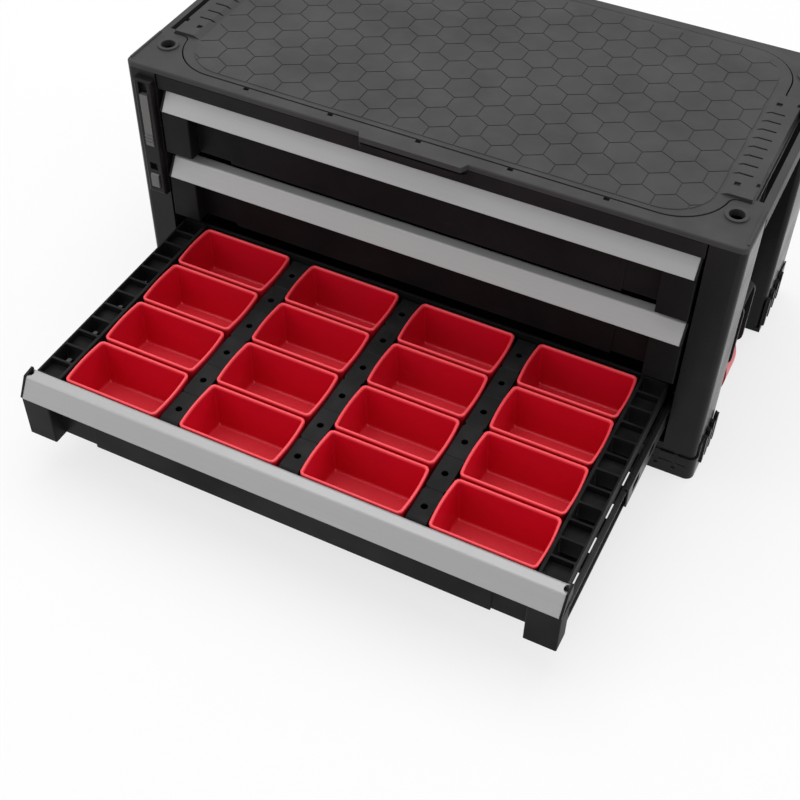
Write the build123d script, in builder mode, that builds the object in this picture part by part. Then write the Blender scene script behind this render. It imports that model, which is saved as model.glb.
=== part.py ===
from build123d import *
import os

# A stackable tool chest with three drawers on telescopic slides. The lowest drawer stands open
# and carries sixteen lift-out bins. X runs to the right, Y to the back and Z up, in millimetres.
# The origin is on the floor, under the middle of the chest and its open drawer.

# Whole chest
chest_width = 562.0
chest_depth = 289.0
frame_top = 264.0
casing_wall = 3.0
drawer_count = 3
open_drawer = 3
drawer_gap = 8.6
drawer_head_gap = 2.4
lowest_drawer_bottom = 36.6
pull_proud = 3.0
overrun = 1.0
fit_gap = 0.3
running_gap = 0.4

# Corner posts and side walls
post_width = 30.0
front_post_depth = 53.0
rear_post_depth = 75.0
post_round = 6.0
post_edge_round = 5.0
wall_rib_width = 4.0
wall_rib_height = 2.0
wall_rib_shares = (0.42, 0.58, 0.74, 0.9)

# Feet
foot_proud = 1.8
foot_floor = 5.0
foot_height = 25.0
foot_side_height = 40.0
foot_tongue = 30.0
foot_notch_width = 6.0
foot_notch_depth = 11.0
foot_notch_shares = (0.44, 0.64, 0.84)
foot_stud_shares = (0.34, 0.54, 0.74, 0.94)
foot_stud_width = 4.5
foot_stud_proud = 2.2
foot_stud_bottom = 8.0
foot_groove_shares = (0.2, 0.5, 0.8)
foot_groove_width = 4.0
foot_groove_depth = 1.0
foot_bead_width = 2.0
foot_bead_depth = 0.6
foot_bead_share = 0.62

# Base pan and rear panel
base_bottom = 12.0
base_sill_height = 22.0
sill_pocket_width = 22.0
sill_pocket_height = 12.0
sill_pocket_depth = 1.4
sill_pocket_pitch = 30.0
base_rib_height = 7.0
base_rib_count = 5
rear_flute_width = 5.0
rear_flute_depth = 1.2
rear_flute_pitch = 38.0
rear_flute_margin = 18.0

# Top frame
frame_plate = 5.0
frame_edge_round = 1.6
tray_margin = 13.0
tray_side_gap = 1.7
tray_round = 45.0
tray_joint_round = 8.0
tray_groove = 1.2
ring_wall = 3.0
ring_depth = 10.0
ledge_width = 16.0
strip_reach = 16.7
grip_gap = 7.0
grip_end = 5.0
carry_rail_depth = 12.0
pad_bead_width = 2.0
pad_bead_height = 1.0
socket_radius = 6.5
socket_boss_radius = 9.5
socket_boss_height = 1.5
socket_side_inset = 21.0
socket_end_inset = 37.0
tab_half = 46.0
tab_slope = 4.0
upper_tab_proud = 6.5
clip_width = 5.0
clip_depth = 3.5
clip_count = 5

# Top tray with its hexagon field and ribbed side strips
tray_wall = 3.0
field_rise = 0.4
hex_across = 28.0
hex_groove = 1.0
hex_height = 0.6
hex_spare = 2
field_inset = 5.0
field_side_inset = 11.0
strip_rise = 2.6
strip_inner_inset = 9.0
strip_bevel = 6.0
rib_slot_length = 18.0
rib_slot_width = 2.0
rib_slot_depth = 2.2
rib_pitch = 13.4
rib_end_margin = 24.0
strip_hole = 5.0
strip_hole_inset = 15.0

# Front header under the top frame
header_thickness = 3.0
header_setback = 0.5
header_side_gap = 1.5
header_top_gap = 1.0
header_height = 14.0
header_web = 3.0
lower_tab_proud = 4.5
lower_tab_height = 4.0

# Drawer tray, measured from the pull's front edge and from the bottom of its corner blocks
block_width = 28.0
block_drop = 1.6
block_setback = 1.0
block_wall = 2.5
block_round = 1.2
drawer_side_gap = 3.0
front_recess = 15.0
front_wall = 4.0
centre_panel_inset = 33.0
centre_panel_proud = 1.0
centre_panel_drop = 2.0
tray_underside = 12.0
tray_floor = 2.5
rail_over = 16.4
rail_width = 24.0
rail_depth_share = 4 / 11
rail_wall = 1.5
tub_wall = 2.5
rear_wall = 2.5
drawer_rear_gap = 33.0
pocket_count = 12
pocket_rib = 2.0
pocket_depth = 7.0
pocket_round = 1.6

# Pull, a bent strip with plastic end caps
pull_lip_depth = 10.5
pull_lip_height = 17.0
pull_depth = 21.5
pull_top_rise = 1.6
pull_flange = 12.5
pull_sheet = 2.0
pull_bend = 3.0
pull_notch_radius = 4.0
cap_thickness = 2.0
cap_rim = 0.9

# Telescopic slides
slide_rear_gap = 18.0
slide_hold = 3.0
rail_side_gap = 8.0
slide_tab_height = 6.0
slide_sheet = 1.2
slide_low_room = 2.0
slide_top_room = 4.0
slide_mouth = 2.5
slide_setback = 22.0
inner_slide_front_gap = 0.6
inner_slide_rear_gap = 6.0
slide_slot_length = 16.0
slide_slot_share = 0.58
slide_slot_pitch = 41.0

# Bins and the strips between their columns
bin_columns = 4
bin_rows = 4
bin_room_x = 23.2
bin_room_y = 3.1
bin_side_gap = 0.4
bin_end_gap = 0.6
bin_bow = 1.8
bin_headroom = 3.1
bin_draft = 3.4
bin_wall = 2.4
bin_floor = 2.0
bin_round = 4.0
bin_rim_round = 0.7
bin_foot_round = 1.4
divider_gap = 0.85
divider_drop = 4.5
divider_wall = 2.0
divider_nose = 8.0
divider_nose_wall = 4.0
divider_end_gap = 2.2
divider_holes = 6
divider_hole_radius = 3.0
divider_seam = 0.8
divider_notch = 4.0

# Drawer lock on the left front post
lock_width = 18.5
lock_inset = 10.5
lock_depth = 6.0
lock_top_gap = 7.0
lock_height = 122.0
lock_round = 2.0
lock_back = 1.5
lock_groove_width = 9.0
lock_groove_rise = 53.0
lock_groove_height = 67.0
lock_bar_length = 54.0
lock_bar_proud = 0.6
lock_bar_ridge = 1.2
lock_bar_ridge_proud = 0.8
lock_bar_ridge_pitch = 3.6
lock_bar_ridges = 3
lock_window = 8.0
lock_window_rise = 26.0
button_rise = 5.5
button_height = 17.0
button_proud = 1.5
button_travel = 2.0
button_round = 3.0

# Side latches
latch_from_front = 76.0
latch_width = 36.0
latch_plate = 3.0
latch_plate_bottom = 108.0
latch_plate_top = 168.0
latch_cheek = 3.0
latch_cheek_reach = 25.0
latch_cheek_bottom = 92.0
latch_cheek_top = 160.0
latch_cheek_round = 8.0
latch_hood = 3.0
pin_radius = 2.5
pin_fit = 0.03
lever_fit = 0.06
pin_reach = 16.0
pin_height = 100.0
lever_knuckle = 6.0
lever_side_gap = 0.5
lever_bottom = 46.0
lever_thickness = 6.0
lever_bulge = 8.0
lever_grip = 2.0

# Screws
screw_radius = 2.0
screw_hole_gap = 0.1
screw_head_radius = 4.0
screw_head_height = 2.4
screw_socket_radius = 1.6
screw_socket_depth = 1.2
latch_screw_spread = 16.0
latch_screw_height = 140.0
foot_screw_recess = 4.2

# Places that several pieces share
half_width = chest_width / 2
slide_length = chest_depth - casing_wall - slide_setback - slide_rear_gap
drawer_travel = slide_length - slide_hold
front = (pull_proud + drawer_travel - chest_depth - foot_proud) / 2
back = front + chest_depth
middle = (front + back) / 2
opening_half = half_width - post_width
front_post_back = front + front_post_depth
rear_post_front = back - rear_post_depth
plate_bottom = frame_top - frame_plate
ring_bottom = plate_bottom - ring_depth
ledge_top = ring_bottom + casing_wall
tray_half = opening_half - tray_side_gap
strip_front = front_post_back + tray_groove + ring_wall
strip_back = rear_post_front - tray_groove - ring_wall
strip_out = tray_half + strip_reach
field_top = frame_top + field_rise
strip_top = field_top + strip_rise
header_bottom = plate_bottom - header_top_gap - header_height
drawer_room = header_bottom - drawer_head_gap - lowest_drawer_bottom
drawer_pitch = (drawer_room + drawer_gap) / drawer_count
pull_top_rear = drawer_pitch - drawer_gap
pull_low = pull_top_rear - pull_lip_height - pull_top_rise
drawer_half = opening_half - rail_side_gap
cavity_half = drawer_half - rail_width
tub_half = cavity_half + tub_wall
rail_top = pull_low + rail_over
rail_depth = rail_depth_share * (rail_top - tray_underside)
rail_bottom = rail_top - rail_depth
slide_half_height = (rail_bottom - tray_underside - slide_low_room - slide_top_room) / 2
slide_centre = tray_underside + slide_low_room + slide_half_height
front_half = opening_half - drawer_side_gap
pull_half = front_half - cap_thickness
closed_pull_front = front - pull_proud
block_height = pull_low - block_drop
floor_top = tray_underside + tray_floor
cavity_front = front_recess + front_wall
drawer_length = chest_depth + pull_proud - casing_wall - drawer_rear_gap
cavity_back = drawer_length - rear_wall
bin_field_middle = (pull_depth + cavity_back) / 2
bin_pitch_x = 2 * (cavity_half - bin_side_gap - bin_bow + bin_room_x / 2) / bin_columns
bin_pitch_y = (cavity_back - pull_depth - 2 * bin_end_gap) / bin_rows
bin_length = bin_pitch_x - bin_room_x
bin_width = bin_pitch_y - bin_room_y
bin_height = pull_top_rear - floor_top - bin_headroom
lock_bottom = plate_bottom - lock_top_gap - lock_height
latch_y = front + latch_from_front
wall_out = opening_half + casing_wall


def block(x_range, y_range, z_range, mode=Mode.ADD):
    """A box between two values on each axis, joined to or cut from the open part."""
    (x0, x1), (y0, y1), (z0, z1) = x_range, y_range, z_range
    with Locations(((x0 + x1) / 2, (y0 + y1) / 2, (z0 + z1) / 2)):
        Box(abs(x1 - x0), abs(y1 - y0), abs(z1 - z0), mode=mode)


def mirrored(piece):
    """The left-hand twin of a right-hand piece."""
    with BuildPart() as twin:
        mirror(piece, about=Plane.YZ)
    return twin.part


def keep(piece, label):
    """Label a finished piece and write it to its own file."""
    piece.label = label
    export_step(piece, f"parts/{label}.step")


def drawer_place(number):
    """Where a drawer's own origin stands: its pull's front edge and the bottom of its blocks."""
    opened = drawer_travel if number == open_drawer else 0
    height = lowest_drawer_bottom + drawer_pitch * (drawer_count - number)
    return (0, closed_pull_front - opened, height)


def placed(piece, place):
    """A copy of a piece moved to its place."""
    with BuildPart() as copy:
        with Locations(place):
            add(piece)
    return copy.part


os.makedirs("parts", exist_ok=True)


# Corner posts: hollow tubes with a large round on the outer corner
def corner_post(near, far):
    """A post whose outer face is at y = near and whose other face is at y = far."""
    with BuildPart() as post:
        with BuildSketch(Plane.XY.offset(foot_floor)) as section:
            with Locations((half_width - post_width / 2, (near + far) / 2)):
                Rectangle(post_width, abs(far - near))
            outer = section.vertices().group_by(Axis.X)[-1].sort_by(lambda v: abs(v.Y - near))
            fillet(outer[0], radius=post_round)
            outer = section.vertices().group_by(Axis.X)[-1].sort_by(lambda v: abs(v.Y - far))
            fillet(outer[0], radius=post_edge_round)
            offset(amount=-casing_wall, mode=Mode.SUBTRACT)
        extrude(amount=plate_bottom - foot_floor)
    return post.part


front_post = corner_post(front, front_post_back)
rear_post = corner_post(back, rear_post_front)
keep(front_post, "front_right_post")
keep(rear_post, "rear_right_post")
keep(mirrored(front_post), "front_left_post")
keep(mirrored(rear_post), "rear_left_post")

# Side walls between the posts, ribbed outside, with holes for the latch screws
latch_screw_places = [(latch_y + side * latch_screw_spread / 2, latch_screw_height) for side in (-1, 1)]
wall_length = rear_post_front - front_post_back
with BuildPart() as side_wall:
    block((opening_half, wall_out), (front_post_back, rear_post_front), (base_bottom, ring_bottom))
    for share in wall_rib_shares:
        rib = front_post_back + share * wall_length
        block(
            (wall_out, wall_out + wall_rib_height),
            (rib - wall_rib_width / 2, rib + wall_rib_width / 2),
            (base_bottom, ring_bottom),
        )
    with Locations(Plane.YZ.offset(wall_out)):
        with Locations(*latch_screw_places):
            Hole(screw_radius + screw_hole_gap, depth=casing_wall + overrun)
keep(side_wall.part, "right_wall")
keep(mirrored(side_wall.part), "left_wall")


# Feet: caps round the bottom of each post, with a tongue under the base pan
def corner_foot(near, far):
    """A foot for the post between near and far, standing proud of its two outer faces."""
    outward = 1 if near > far else -1
    outer_y = near + outward * foot_proud
    outer_x = half_width + foot_proud
    inner_x = opening_half - foot_tongue
    length = abs(far - near)
    gap_x = half_width + fit_gap
    gap_y = near + outward * fit_gap
    bead = foot_height * foot_bead_share
    with BuildPart() as foot:
        with BuildSketch() as plan:
            with Locations(((inner_x + outer_x) / 2, (outer_y + far) / 2)):
                Rectangle(outer_x - inner_x, abs(far - outer_y))
            corners = plan.vertices().group_by(Axis.X)[-1].sort_by(lambda v: abs(v.Y - outer_y))
            fillet(corners[0], radius=post_round + foot_proud)
        extrude(amount=foot_height)
        block(
            (half_width - post_round, outer_x),
            (near - outward * post_round, far),
            (foot_height, foot_side_height),
        )
        with BuildSketch(Plane.XY.offset(foot_floor)):
            with Locations((gap_x - half_width, gap_y - outward * chest_depth)):
                RectangleRounded(2 * half_width, 2 * chest_depth, post_round + fit_gap)
        extrude(amount=foot_side_height, mode=Mode.SUBTRACT)
        block((inner_x, opening_half), (near, far), (0, base_bottom))
        for share in foot_notch_shares:
            notch = near - outward * share * length
            block(
                (gap_x - overrun, outer_x + overrun),
                (notch - foot_notch_width / 2, notch + foot_notch_width / 2),
                (foot_side_height - foot_notch_depth, foot_side_height + overrun),
                mode=Mode.SUBTRACT,
            )
        for share in foot_stud_shares:
            stud = near - outward * share * length
            block(
                (outer_x, outer_x + foot_stud_proud),
                (stud - foot_stud_width / 2, stud + foot_stud_width / 2),
                (foot_stud_bottom, foot_side_height),
            )
        for share in foot_groove_shares:
            groove = inner_x + share * (half_width - post_round - inner_x)
            block(
                (groove - foot_groove_width / 2, groove + foot_groove_width / 2),
                (outer_y + outward * overrun, outer_y - outward * foot_groove_depth),
                (foot_stud_bottom, foot_height + overrun),
                mode=Mode.SUBTRACT,
            )
        block(
            (inner_x - overrun, half_width - post_round),
            (outer_y + outward * overrun, outer_y - outward * foot_bead_depth),
            (bead - foot_bead_width / 2, bead + foot_bead_width / 2),
            mode=Mode.SUBTRACT,
        )
        with Locations(Plane.XY.rotated((180, 0, 0))):
            with Locations((foot_screw_x, -(near + far) / 2)):
                CounterBoreHole(
                    screw_radius + screw_hole_gap,
                    screw_head_radius + fit_gap,
                    foot_screw_recess,
                    depth=base_bottom,
                )
    return foot.part


foot_screw_x = opening_half - foot_tongue / 2
front_foot = corner_foot(front, front_post_back)
rear_foot = corner_foot(back, rear_post_front)
keep(front_foot, "front_right_foot")
keep(rear_foot, "rear_right_foot")
keep(mirrored(front_foot), "front_left_foot")
keep(mirrored(rear_foot), "rear_left_foot")

# Base pan with a pocketed front sill and ribs underneath
base_top = base_bottom + casing_wall
base_rib_pitch = 2 * opening_half / base_rib_count
foot_screw_places = [
    (side * foot_screw_x, y)
    for side in (-1, 1)
    for y in ((front + front_post_back) / 2, (back + rear_post_front) / 2)
]
pocket_room = 2 * (opening_half - foot_tongue)
sill_pockets = int(pocket_room // sill_pocket_pitch)
with BuildPart() as base_pan:
    block((-opening_half, opening_half), (front, back), (base_bottom, base_top))
    block(
        (-opening_half, opening_half),
        (front, front + casing_wall),
        (base_bottom, base_bottom + base_sill_height),
    )
    with Locations(Plane.XZ.offset(-front)):
        with Locations((0, base_bottom + base_sill_height / 2)):
            with GridLocations(sill_pocket_pitch, sill_pocket_height, sill_pockets, 1):
                Box(sill_pocket_width, sill_pocket_height, 2 * sill_pocket_depth, mode=Mode.SUBTRACT)
    with Locations((0, middle, base_bottom - base_rib_height / 2)):
        with GridLocations(base_rib_pitch, chest_depth, base_rib_count, 1):
            Box(casing_wall, chest_depth, base_rib_height)
    with Locations(Plane.XY.offset(base_top)):
        with Locations(*foot_screw_places):
            Hole(screw_radius + screw_hole_gap, depth=casing_wall + overrun)
keep(base_pan.part, "base_pan")

# Rear panel with upright flutes
flute_count = int((2 * opening_half - rear_flute_margin) // rear_flute_pitch)
flute_height = plate_bottom - base_top - 2 * rear_flute_margin
with BuildPart() as rear_panel:
    block((-opening_half, opening_half), (back - casing_wall, back), (base_top, plate_bottom))
    with Locations((0, back, (base_top + plate_bottom) / 2)):
        with GridLocations(rear_flute_pitch, chest_depth, flute_count, 1):
            Box(rear_flute_width, 2 * rear_flute_depth, flute_height, mode=Mode.SUBTRACT)
keep(rear_panel.part, "rear_panel")

# Outline of the top tray: a rounded field with a strip at each side, between the corner pads
with BuildSketch() as tray_outline:
    with Locations((0, middle)):
        RectangleRounded(2 * tray_half, chest_depth - 2 * tray_margin, tray_round)
    with Locations((0, (strip_front + strip_back) / 2)):
        Rectangle(2 * strip_out, strip_back - strip_front)
    joints = [
        corner
        for corner in tray_outline.vertices()
        if min(abs(corner.Y - strip_front), abs(corner.Y - strip_back)) < fit_gap
        and abs(corner.X) < strip_out - fit_gap
    ]
    fillet(joints, radius=tray_joint_round)

# Top frame: a plate with beaded corner pads, a ledged ring that carries the tray, and two carry rails
grip_in = strip_out + tray_groove
bead_out = half_width - frame_edge_round
clip_pitch = 2 * (tray_half - tray_round) / clip_count
socket_places = [
    (side * (half_width - socket_side_inset), y)
    for side in (-1, 1)
    for y in (front + socket_end_inset, back - socket_end_inset)
]
with BuildPart() as top_frame:
    with BuildSketch(Plane.XY.offset(plate_bottom)):
        with Locations((0, middle)):
            RectangleRounded(chest_width, chest_depth, post_round)
    extrude(amount=frame_plate)
    fillet(top_frame.faces().sort_by(Axis.Z)[-1].edges(), radius=frame_edge_round)
    with BuildSketch(Plane.XY.offset(ring_bottom)):
        add(tray_outline.sketch)
        offset(amount=tray_groove + ring_wall, mode=Mode.REPLACE)
    extrude(amount=ring_depth)
    with BuildSketch(Plane.XY.offset(ledge_top)):
        add(tray_outline.sketch)
        offset(amount=tray_groove, mode=Mode.REPLACE)
    extrude(amount=frame_top - ledge_top + overrun, mode=Mode.SUBTRACT)
    with BuildSketch(Plane.XY.offset(ring_bottom - overrun)):
        add(tray_outline.sketch)
        offset(amount=-ledge_width, mode=Mode.REPLACE)
    extrude(amount=ring_depth, mode=Mode.SUBTRACT)
    for side in (-1, 1):
        for post_range in ((front, front_post_back), (rear_post_front, back)):
            block(
                (side * (opening_half - fit_gap), side * half_width),
                post_range,
                (ring_bottom - overrun, plate_bottom),
                mode=Mode.SUBTRACT,
            )
        for bead_range in ((front + post_round, front_post_back), (rear_post_front, back - post_round)):
            block(
                (side * (bead_out - pad_bead_width), side * bead_out),
                bead_range,
                (frame_top, frame_top + pad_bead_height),
            )
        block(
            (side * grip_in, side * (grip_in + grip_gap)),
            (strip_front + grip_end, strip_back - grip_end),
            (ring_bottom - overrun, frame_top + overrun),
            mode=Mode.SUBTRACT,
        )
        block(
            (side * (grip_in + grip_gap), side * half_width),
            (front_post_back, rear_post_front),
            (plate_bottom - carry_rail_depth, plate_bottom),
        )
    with BuildSketch(Plane.XY.offset(plate_bottom)):
        with BuildLine():
            Polyline(
                (-tab_half - tab_slope, front + frame_edge_round),
                (-tab_half, front - upper_tab_proud),
                (tab_half, front - upper_tab_proud),
                (tab_half + tab_slope, front + frame_edge_round),
                close=True,
            )
        make_face()
    extrude(amount=frame_plate)
    with Locations((0, front + tray_margin - tray_groove, frame_top)):
        with GridLocations(clip_pitch, clip_depth, clip_count, 1):
            Box(clip_width, 2 * clip_depth, frame_plate, mode=Mode.SUBTRACT)
    with Locations(Plane.XY.offset(frame_top)):
        with Locations(*socket_places):
            Cylinder(
                socket_boss_radius,
                socket_boss_height,
                align=(Align.CENTER, Align.CENTER, Align.MIN),
            )
    with Locations(Plane.XY.offset(frame_top + socket_boss_height)):
        with Locations(*socket_places):
            Hole(socket_radius, depth=frame_plate + socket_boss_height + overrun)
keep(top_frame.part, "top_frame")

# Top tray: a hollow cover with raised hexagons and a ribbed, raised strip along each side
row_pitch = hex_across * 3**0.5 / 2
hex_columns = int(2 * tray_half // hex_across) + hex_spare
hex_rows = int((chest_depth - 2 * tray_margin) // row_pitch) + hex_spare + 1
hex_places = [
    (
        (column - (hex_columns - 1) / 2 + (row % 2) / 2) * hex_across,
        (row - (hex_rows - 1) / 2) * row_pitch,
    )
    for row in range(hex_rows)
    for column in range(hex_columns)
]
strip_in = tray_half - strip_inner_inset
slot_middle = strip_in + rib_slot_length / 2
slot_count = int((strip_back - strip_front - 2 * rib_end_margin) // rib_pitch) + 1
with BuildPart() as hex_tray:
    with BuildSketch(Plane.XY.offset(ledge_top)):
        add(tray_outline.sketch)
    extrude(amount=field_top - ledge_top)
    with BuildSketch(Plane.XY.offset(ledge_top - overrun)):
        add(tray_outline.sketch)
        offset(amount=-tray_wall, mode=Mode.REPLACE)
    extrude(amount=field_top - tray_wall - ledge_top + overrun, mode=Mode.SUBTRACT)
    with BuildSketch(Plane.XY.offset(field_top)) as hexagons:
        with Locations((0, middle)):
            with Locations(*hex_places):
                RegularPolygon((hex_across - hex_groove) / 2, 6, major_radius=False, rotation=30)
            RectangleRounded(
                2 * (tray_half - field_side_inset),
                chest_depth - 2 * (tray_margin + field_inset),
                tray_round - field_inset,
                mode=Mode.INTERSECT,
            )
    extrude(amount=hex_height)
    for side in (-1, 1):
        with BuildSketch(Plane.XZ.offset(-strip_front)):
            with BuildLine():
                Polyline(
                    (side * strip_in, field_top),
                    (side * (strip_in + strip_bevel), strip_top),
                    (side * strip_out, strip_top),
                    (side * strip_out, field_top),
                    close=True,
                )
            make_face()
        extrude(amount=strip_front - strip_back)
        with BuildSketch(Plane.XY.offset(strip_top)):
            with Locations((side * slot_middle, (strip_front + strip_back) / 2)):
                with GridLocations(rib_slot_length, rib_pitch, 1, slot_count):
                    SlotOverall(rib_slot_length, rib_slot_width)
            for end in (strip_front + strip_hole_inset, strip_back - strip_hole_inset):
                with Locations((side * slot_middle, end), (side * strip_out, end + strip_hole)):
                    Rectangle(strip_hole, strip_hole)
        extrude(amount=-rib_slot_depth, mode=Mode.SUBTRACT)
keep(hex_tray.part, "hex_tray")

# Front header between the posts, hung on the ring by a web, with the lower half of the tab
header_top = plate_bottom - header_top_gap
header_front = front + header_setback
header_half = opening_half - header_side_gap
header_middle = header_top - header_height / 2
ring_face = front + tray_margin - tray_groove - ring_wall
lower_tab_top = header_top - header_web
with BuildPart() as front_header:
    block(
        (-header_half, header_half),
        (header_front, header_front + header_thickness),
        (header_top - header_height, header_top),
    )
    block(
        (tray_round - tray_half, tray_half - tray_round),
        (header_front + header_thickness, ring_face),
        (header_middle, header_middle + header_web),
    )
    with BuildSketch(Plane.XY.offset(lower_tab_top)):
        with BuildLine():
            Polyline(
                (-tab_half - tab_slope, header_front),
                (-tab_half, header_front - lower_tab_proud),
                (tab_half, header_front - lower_tab_proud),
                (tab_half + tab_slope, header_front),
                close=True,
            )
        make_face()
    extrude(amount=-lower_tab_height)
keep(front_header.part, "front_header")

# Drawer tray: a tub with ladder-like side rails along its rim, tabs that carry the slides, a recessed
# front and two corner blocks
front_wall_top = pull_low + pull_lip_height - pull_sheet - fit_gap
pocket_run = cavity_back - pull_depth
pocket_pitch = pocket_run / pocket_count
pocket_length = pocket_pitch - pocket_rib
pocket_width = drawer_half - rail_wall - tub_half
rail_middle = tub_half + pocket_width / 2
block_in = front_half - block_width
centre_panel_half = block_in - centre_panel_inset
with BuildPart() as drawer_tray:
    block((-drawer_half, drawer_half), (cavity_front, drawer_length), (rail_bottom, rail_top))
    block((-tub_half, tub_half), (front_recess, drawer_length), (tray_underside, rail_bottom))
    block((-drawer_half, drawer_half), (front_recess, cavity_front), (0, front_wall_top))
    block(
        (-cavity_half, cavity_half),
        (cavity_front, cavity_back),
        (floor_top, pull_top_rear + overrun),
        mode=Mode.SUBTRACT,
    )
    block(
        (-drawer_half - overrun, drawer_half + overrun),
        (cavity_front, pull_depth + fit_gap),
        (pull_top_rear - pull_flange - fit_gap, rail_top + overrun),
        mode=Mode.SUBTRACT,
    )
    block(
        (-centre_panel_half, centre_panel_half),
        (front_recess - centre_panel_proud, front_recess + front_wall / 2),
        (-centre_panel_drop, block_height),
    )
    for side in (-1, 1):
        with BuildSketch(Plane.XY) as block_plan:
            with Locations((side * (front_half - block_width / 2), (block_setback + cavity_front) / 2)):
                Rectangle(block_width, cavity_front - block_setback)
            fillet(block_plan.vertices().group_by(Axis.Y)[0], radius=block_round)
        extrude(amount=block_height)
        block(
            (side * (block_in + block_wall), side * (front_half - block_wall)),
            (block_setback + block_wall, front_recess),
            (-overrun, block_height - block_wall),
            mode=Mode.SUBTRACT,
        )
        for pocket in range(pocket_count):
            pocket_middle = pull_depth + (pocket + 1 / 2) * pocket_pitch
            shallow = pocket % 2 == 0
            with BuildSketch(Plane.XY.offset(rail_top)):
                with Locations((side * rail_middle, pocket_middle)):
                    RectangleRounded(pocket_width, pocket_length, pocket_round)
            extrude(
                amount=-(pocket_depth if shallow else rail_depth + overrun),
                mode=Mode.SUBTRACT,
            )
            if shallow:
                block(
                    (side * tub_half, side * drawer_half),
                    (pocket_middle - pocket_length / 2, pocket_middle + pocket_length / 2),
                    (slide_centre - slide_tab_height / 2, slide_centre + slide_tab_height / 2),
                )

# Pull: lip, top and rear flange bent from one strip, notched at both ends of its top
with BuildPart() as pull:
    with BuildSketch(Plane.YZ):
        with BuildLine():
            FilletPolyline(
                (0, pull_low),
                (pull_lip_depth, pull_low + pull_lip_height),
                (pull_depth, pull_top_rear),
                (pull_depth, pull_top_rear - pull_flange),
                radius=pull_bend,
            )
            offset(amount=pull_sheet, side=Side.RIGHT)
        make_face()
    extrude(amount=pull_half, both=True)
    notch_middle = (pull_lip_depth + pull_depth) / 2
    with Locations((-pull_half, notch_middle, pull_top_rear), (pull_half, notch_middle, pull_top_rear)):
        Cylinder(pull_notch_radius, 2 * pull_bend, mode=Mode.SUBTRACT)

# End caps of the pull, a little larger than its section
with BuildPart() as pull_caps:
    with BuildSketch(Plane.YZ.offset(pull_half)):
        with BuildLine():
            FilletPolyline(
                (-cap_rim / 2, pull_low - cap_rim / 2),
                (pull_lip_depth - cap_rim / 2, pull_low + pull_lip_height + cap_rim),
                (pull_depth, pull_top_rear + cap_rim),
                (pull_depth, pull_top_rear - pull_flange),
                (front_recess, pull_top_rear - pull_flange),
                (pull_sheet, pull_low - cap_rim / 2),
                radius=cap_rim,
                close=True,
            )
        make_face()
    extrude(amount=cap_thickness)
    mirror(pull_caps.part, about=Plane.YZ)

# Telescopic slides: an outer channel on the casing, a middle one, and an inner one on the drawer
nest = slide_sheet + running_gap
slide_slot_height = slide_slot_share * 2 * (slide_half_height - 2 * nest)
inner_slide_setback = cavity_front + inner_slide_front_gap
inner_slide_length = drawer_length - inner_slide_rear_gap - inner_slide_setback


def channel_pair(x_range, half_height, length, opens_inward):
    """A channel of sheet between two values of X, and its twin, running back from y = 0."""
    x_in, x_out = x_range
    hollow_in = x_in - overrun if opens_inward else x_in + slide_sheet
    hollow_out = x_out - slide_sheet if opens_inward else x_out + overrun
    slots = int(length // slide_slot_pitch)
    with BuildPart() as pair:
        block((x_in, x_out), (0, length), (slide_centre - half_height, slide_centre + half_height))
        block(
            (hollow_in, hollow_out),
            (-overrun, length + overrun),
            (slide_centre - half_height + slide_sheet, slide_centre + half_height - slide_sheet),
            mode=Mode.SUBTRACT,
        )
        with Locations((x_out if opens_inward else x_in, length / 2, slide_centre)):
            with GridLocations(rail_side_gap, slide_slot_pitch, 1, slots):
                Box(2 * slide_sheet + overrun, slide_slot_length, slide_slot_height, mode=Mode.SUBTRACT)
        mirror(pair.part, about=Plane.YZ)
    return pair.part


mouth = drawer_half + slide_mouth
outer_pair = channel_pair((mouth, opening_half), slide_half_height, slide_length, True)
middle_pair = channel_pair((mouth, opening_half - nest), slide_half_height - nest, slide_length, True)
inner_pair = channel_pair(
    (drawer_half, opening_half - 2 * nest), slide_half_height - 2 * nest, inner_slide_length, False
)
for number in range(1, drawer_count + 1):
    x, y, z = drawer_place(number)
    opened = closed_pull_front - y
    name = f"drawer_{number}"
    keep(placed(drawer_tray.part, (x, y, z)), f"{name}_tray")
    keep(placed(pull.part, (x, y, z)), f"{name}_pull")
    keep(placed(pull_caps.part, (x, y, z)), f"{name}_pull_caps")
    keep(placed(outer_pair, (x, front + slide_setback, z)), f"{name}_outer_slides")
    keep(placed(middle_pair, (x, front + slide_setback - opened / 2, z)), f"{name}_middle_slides")
    keep(placed(inner_pair, (x, y + inner_slide_setback, z)), f"{name}_inner_slides")


# Bins: drafted boxes with rounded corners and slightly bowed short sides
def bin_outline(length, width, corner):
    """A rectangle whose short sides bow out, with rounded corners."""
    with BuildSketch() as outline:
        with BuildLine():
            Line((-length / 2, -width / 2), (length / 2, -width / 2))
            ThreePointArc((length / 2, -width / 2), (length / 2 + bin_bow, 0), (length / 2, width / 2))
            Line((length / 2, width / 2), (-length / 2, width / 2))
            ThreePointArc((-length / 2, width / 2), (-length / 2 - bin_bow, 0), (-length / 2, -width / 2))
        make_face()
        fillet(outline.vertices(), radius=corner)
    return outline.sketch


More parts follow.
